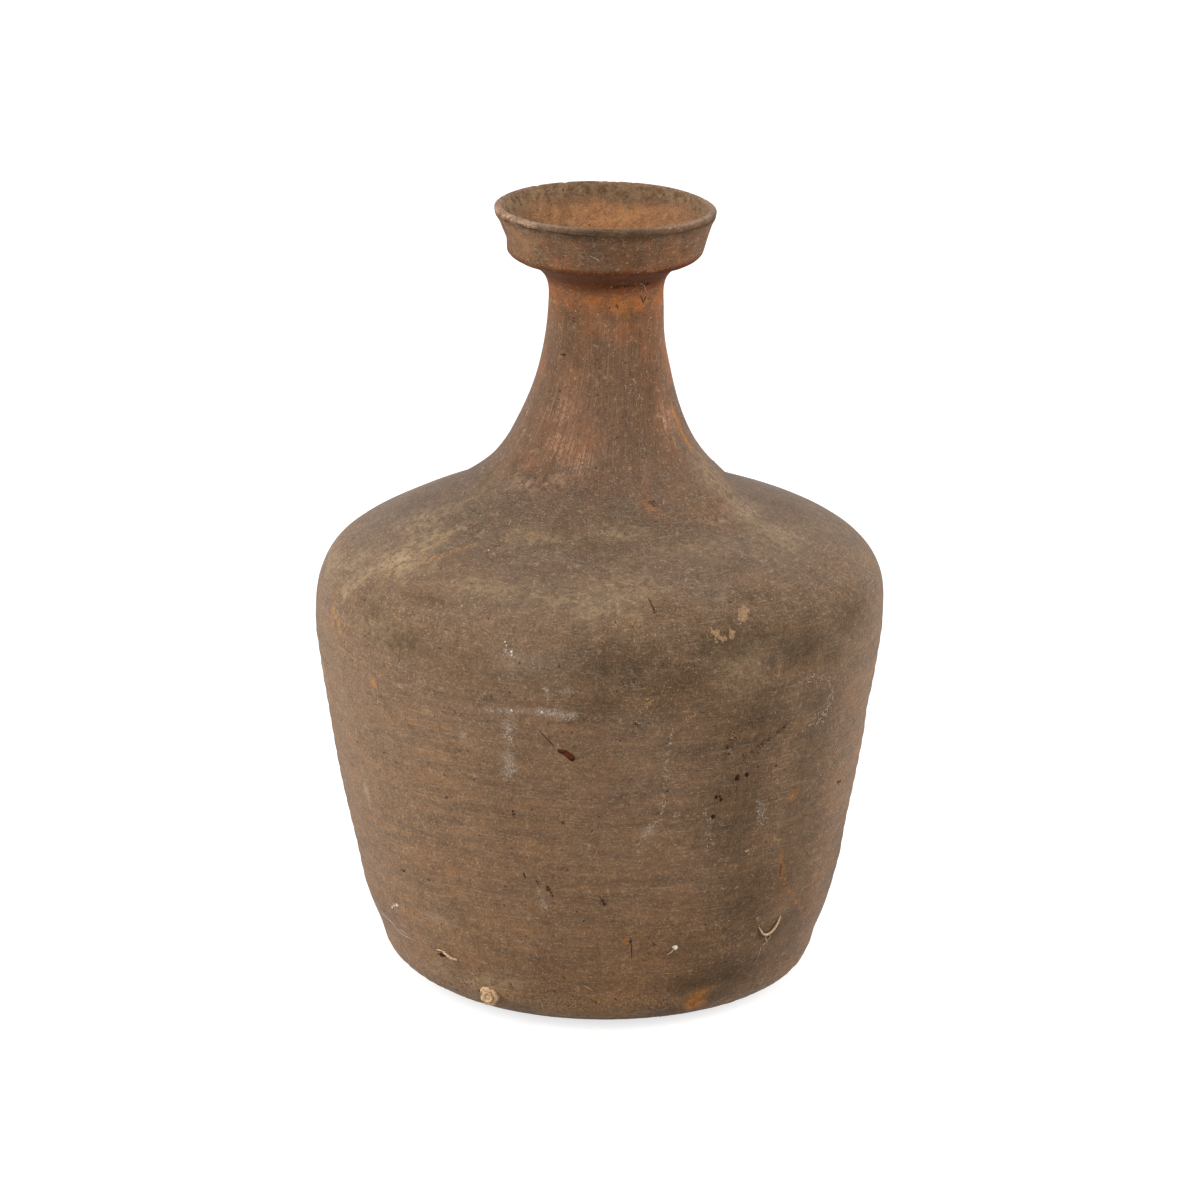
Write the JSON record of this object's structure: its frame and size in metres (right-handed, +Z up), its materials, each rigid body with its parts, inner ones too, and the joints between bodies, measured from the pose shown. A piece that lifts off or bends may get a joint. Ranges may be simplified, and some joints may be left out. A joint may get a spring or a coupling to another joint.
{
  "type": "wine jug",
  "caption": "Unglazed terracotta wine jug with a rounded heel, tapered body, domed shoulder, swept neck and flared cup mouth, luted together from thrown sections.",
  "frame": {"origin": "centre of the flat that the jug stands on", "axes": "+Z up along the jug's axis, towards the mouth; the picture looks along +Y from above"},
  "size_m": [0.286, 0.286, 0.4],
  "materials": {
    "brown_terracotta": "matte unglazed fired clay, smoke-clouded and burnished",
    "red_terracotta": "matte unglazed fired clay, worn to an orange brown",
    "luting_clay": "rough fired clay smeared by hand"
  },
  "bodies": {
    "root": {"base_bowl": "brown_terracotta", "body_wall": "brown_terracotta", "shoulder_dome": "brown_terracotta", "neck": "red_terracotta", "mouth_cup": "red_terracotta", "heel_lute": "luting_clay", "belly_lute": "luting_clay", "root_lute": "luting_clay", "waist_lute": "luting_clay"}
  },
  "joints": []
}
